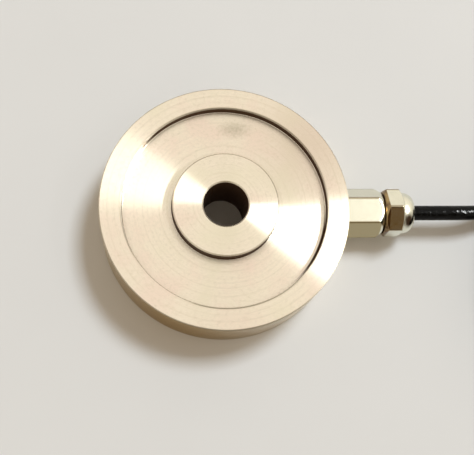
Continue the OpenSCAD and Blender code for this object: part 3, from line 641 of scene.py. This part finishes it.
def tie(name, angle, material):
    """The strap's section is swept around the loop. Its inner face is toothed: the thickness goes
    up and down by a tenth of a millimetre with the length around the loop."""
    count = 420
    out0, high0 = rounded_loop(COIL_IN - 0.15 * MM, COIL_OUT + 0.1 * MM, COIL_LOW - 0.1 * MM,
                               COIL_TOP + 0.1 * MM, 0, count)
    out1, high1 = rounded_loop(COIL_IN - 0.15 * MM - TIE_T, COIL_OUT + 0.1 * MM + TIE_T,
                               COIL_LOW - 0.1 * MM - TIE_T, COIL_TOP + 0.1 * MM + TIE_T, 0, count)
    tooth = 0.1 * (np.arange(count) % 2)[:, None]
    depth = np.array([0.12, 0, 0, 0.12, 0.88, 1, 1, 0.88])[None]
    depth = np.where(depth < 0.5, depth + tooth, depth)
    side = np.array([-1, -0.88, 0.88, 1, 1, 0.88, -0.88, -1]) * TIE_W / 2
    out = out0[:, None] * (1 - depth) + out1[:, None] * depth
    high = high0[:, None] * (1 - depth) + high1[:, None] * depth
    across = np.broadcast_to(side, out.shape)
    grid = on_section(angle, across, out, high)
    return skin(name, grid, material, closed_along=True)


tie_nylon = plain_plastic("tie_nylon", (0.010, 0.010, 0.010), (0.020, 0.020, 0.019), (0.34, 0.46))
for name, angle in (("coil_tie_near", 255), ("coil_tie_far", 150)):
    strap = tie(name + "_strap", angle, tie_nylon)
    head = pillow(angle, COIL_OUT + 2.1 * MM, 12.95 * MM, 0, (1.6 * MM, 2.1 * MM, 2.2 * MM),
                  name + "_head", tie_nylon)
    stub = pillow(angle, COIL_OUT + 2.3 * MM, 16.2 * MM, 0, (0.4 * MM, 1.45 * MM, 1.3 * MM),
                  name + "_stub", tie_nylon)
    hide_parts(name)


# Stripped end
# The jacket ends on top of the coil in a shrunk sleeve. Four insulated leads and the drain wire
# come out of it, lie down side by side and are bare and tinned for the last few millimetres.
LEAD_LENGTH, BARE_LENGTH = 30 * MM, 6 * MM
LEDGE_R, LEDGE_Z = 36.2 * MM, 16.5 * MM


def ring_line(radius, height, turned):
    angle = np.radians(MEET_ANGLE - turned)
    return np.column_stack([COIL_MIDDLE[0] + radius * np.cos(angle),
                            COIL_MIDDLE[1] + radius * np.sin(angle),
                            np.broadcast_to(height, np.shape(turned))])


def degrees_of(length):
    """How far around the coil a length along the tail reaches."""
    return np.degrees(length / TAIL_R)


sleeve_turned = COIL_END + degrees_of(np.linspace(2, 14, 49) * MM)
snug = 2.65 + 0.35 * shift(np.linspace(2, 14, 49), 2.0, 2.6) * (
    1 - 0.55 * shift(np.linspace(2, 14, 49), 12.2, 13.9))
outside = tube(ring_line(TAIL_R, TAIL_Z, sleeve_turned), snug * MM, 32)
inside = tube(ring_line(TAIL_R, TAIL_Z, sleeve_turned), 2.58 * MM - 0 * snug, 32)
sleeve = skin("shrunk_sleeve", np.concatenate([outside, inside[::-1]]),
              plain_plastic("shrink_sleeve", (0.014, 0.014, 0.014), (0.028, 0.028, 0.027),
                            (0.42, 0.56), 600, 0.00006), closed_along=True)
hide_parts("end_sleeve")


def lead(name, colour, start_r, start_z, place, thick):
    """A lead's line: out of the jacket, across and down on the ledge. The insulation is a tube
    along its first part and the bare wire a thinner tube along the rest; the drain wire is bare all
    along."""
    share = np.linspace(0, 1, 61)
    rest_r = LEDGE_R + 0.65 * MM + place
    radius = start_r + (rest_r - start_r) * shift(share, 0.08, 0.35)
    height = start_z + (LEDGE_Z + thick / 2 + 0.05 * MM - start_z) * shift(share, 0.15, 0.5)
    line = ring_line(radius, height, TAIL_END + degrees_of(0.1 * MM + LEAD_LENGTH * share))
    covered = share <= 1 - BARE_LENGTH / LEAD_LENGTH
    if colour == "screen":
        made = skin(name + "_wire", tube(line, thick / 2, 12), tinned)
    else:
        made = skin(name + "_skin", tube(line[covered], thick / 2, 16),
                    core_skin[colour])
        end = line[np.flatnonzero(covered)[-1]:]
        skin(name + "_wire", tube(end, 0.36 * MM, 12), tinned)
    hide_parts(name)


LEAD_STEP, SCREEN_STEP = 1.15 * MM, 0.9 * MM
OFF = 1.15 * math.sqrt(0.5) * MM
for colour, side, level, place in (
        ("red", -1, -1, 0), ("green", -1, 1, LEAD_STEP),
        ("white", 1, 1, LEAD_STEP + 2 * SCREEN_STEP), ("black", 1, -1, 2 * (LEAD_STEP + SCREEN_STEP))):
    lead("lead_" + colour, colour, TAIL_R + side * OFF, TAIL_Z + level * OFF, place, 1.1 * MM)
lead("lead_screen", "screen", TAIL_R, TAIL_Z, LEAD_STEP + SCREEN_STEP, 0.6 * MM)


# Floor, light and camera
# A plain pale floor and a pale backdrop, lit by a large soft box overhead and to the right, with
# the camera where the photograph was taken from.
def floor_paint():
    made, shader = new_finish("floor", Roughness=0.9)
    feed(made, shader.inputs["Base Color"],
         blend(made, noise(made, place_on_piece(made), 20), (0.70, 0.685, 0.66, 1),
               (0.73, 0.715, 0.69, 1)))
    return made


def floor_sheet():
    half = 3.0
    mesh = bpy.data.meshes.new("floor")
    mesh.from_pydata([(-half, -half, 0), (half, -half, 0), (half, half, 0), (-half, half, 0)],
                     [], [(0, 1, 2, 3)])
    mesh.materials.append(floor_paint())
    made = bpy.data.objects.new("floor", mesh)
    bpy.context.scene.collection.objects.link(made)
    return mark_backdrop(made)


def soft_box(name, place, size, power, colour, gloss, towards=(0, 0, 0.02)):
    """A rectangular lamp that faces a point, with its height along Y."""
    lamp = bpy.data.lights.new(name, "AREA")
    lamp.shape = "RECTANGLE"
    lamp.size, lamp.size_y = size
    lamp.energy = power
    lamp.color = colour
    made = bpy.data.objects.new(name, lamp)
    back = np.array(place) - np.array(towards)
    back /= np.linalg.norm(back)
    right = np.cross([0, 1.0, 0], back)
    right /= np.linalg.norm(right)
    up = np.cross(back, right)
    made.matrix_world = Matrix([[right[i], up[i], back[i], place[i]] for i in range(3)]
                               + [[0, 0, 0, 1]])
    made.visible_glossy = gloss
    made.visible_diffuse = not gloss
    bpy.context.scene.collection.objects.link(made)
    return made


floor_sheet()
soft_box("key", (1.26, 1.20, 3.05), (0.9, 0.9), 87, (0.80, 0.90, 1.0), gloss=False)
soft_box("side", (0.43, 0.049, 0.55), (0.03, 0.287), 5.4, (0.98, 1.0, 1.0), gloss=True)

world = bpy.data.worlds.new("studio")
world.use_nodes = True
sky = world.node_tree.nodes["Background"]
toward = put(world, "TexCoord", {})


def facing(direction, low, high):
    """0 to 1 with the angle to a direction: 0 past the cosine `low` and 1 past `high`."""
    direction = np.array(direction) / np.linalg.norm(direction)
    cosine = put(world, "VectorMath", {0: toward, 1: direction}, out=1, operation="DOT_PRODUCT")
    return put(world, "MapRange", {"Value": cosine, "From Min": low, "From Max": high},
               interpolation_type="SMOOTHSTEP")


room = blend(world, facing((0, 0.45, 0.9), -0.3, 0.97), (0.64, 0.58, 0.49, 1),
             (1.08, 1.015, 0.91, 1))
room = blend(world, facing((0.1, -0.70, 0.71), 0.90, 0.96), room, (0.10, 0.048, 0.006, 1))
glancing = put(world, "LightPath", {}, out=3)
room = blend(world, glancing, (0.52, 0.445, 0.35, 1), room)
seen = put(world, "LightPath", {}, out=0)
feed(world, sky.inputs["Color"], blend(world, seen, room, (0.93, 0.91, 0.88, 1)))
bpy.context.scene.world = world

CAMERA_PLACE = (-25.42 * MM, -81.33 * MM, 290.2 * MM)
CAMERA_TURN, CAMERA_HEIGHT, CAMERA_ROLL = (math.radians(a) for a in (-21.47, 73.66, 20.47))
back = np.array([math.sin(CAMERA_TURN) * math.cos(CAMERA_HEIGHT),
                 -math.cos(CAMERA_TURN) * math.cos(CAMERA_HEIGHT), math.sin(CAMERA_HEIGHT)])
level = np.array([math.cos(CAMERA_TURN), math.sin(CAMERA_TURN), 0])
upright = np.cross(back, level)
right = math.cos(CAMERA_ROLL) * level + math.sin(CAMERA_ROLL) * upright
up = math.cos(CAMERA_ROLL) * upright - math.sin(CAMERA_ROLL) * level
lens = bpy.data.cameras.new("camera")
lens.sensor_width = 36
lens.sensor_fit = "HORIZONTAL"
lens.lens = 64.6
camera = bpy.data.objects.new("camera", lens)
camera.matrix_world = Matrix([[right[i], up[i], back[i], CAMERA_PLACE[i]] for i in range(3)]
                             + [[0, 0, 0, 1]])
bpy.context.scene.collection.objects.link(camera)
bpy.context.scene.camera = camera
bpy.context.scene.view_settings.view_transform = "Standard"
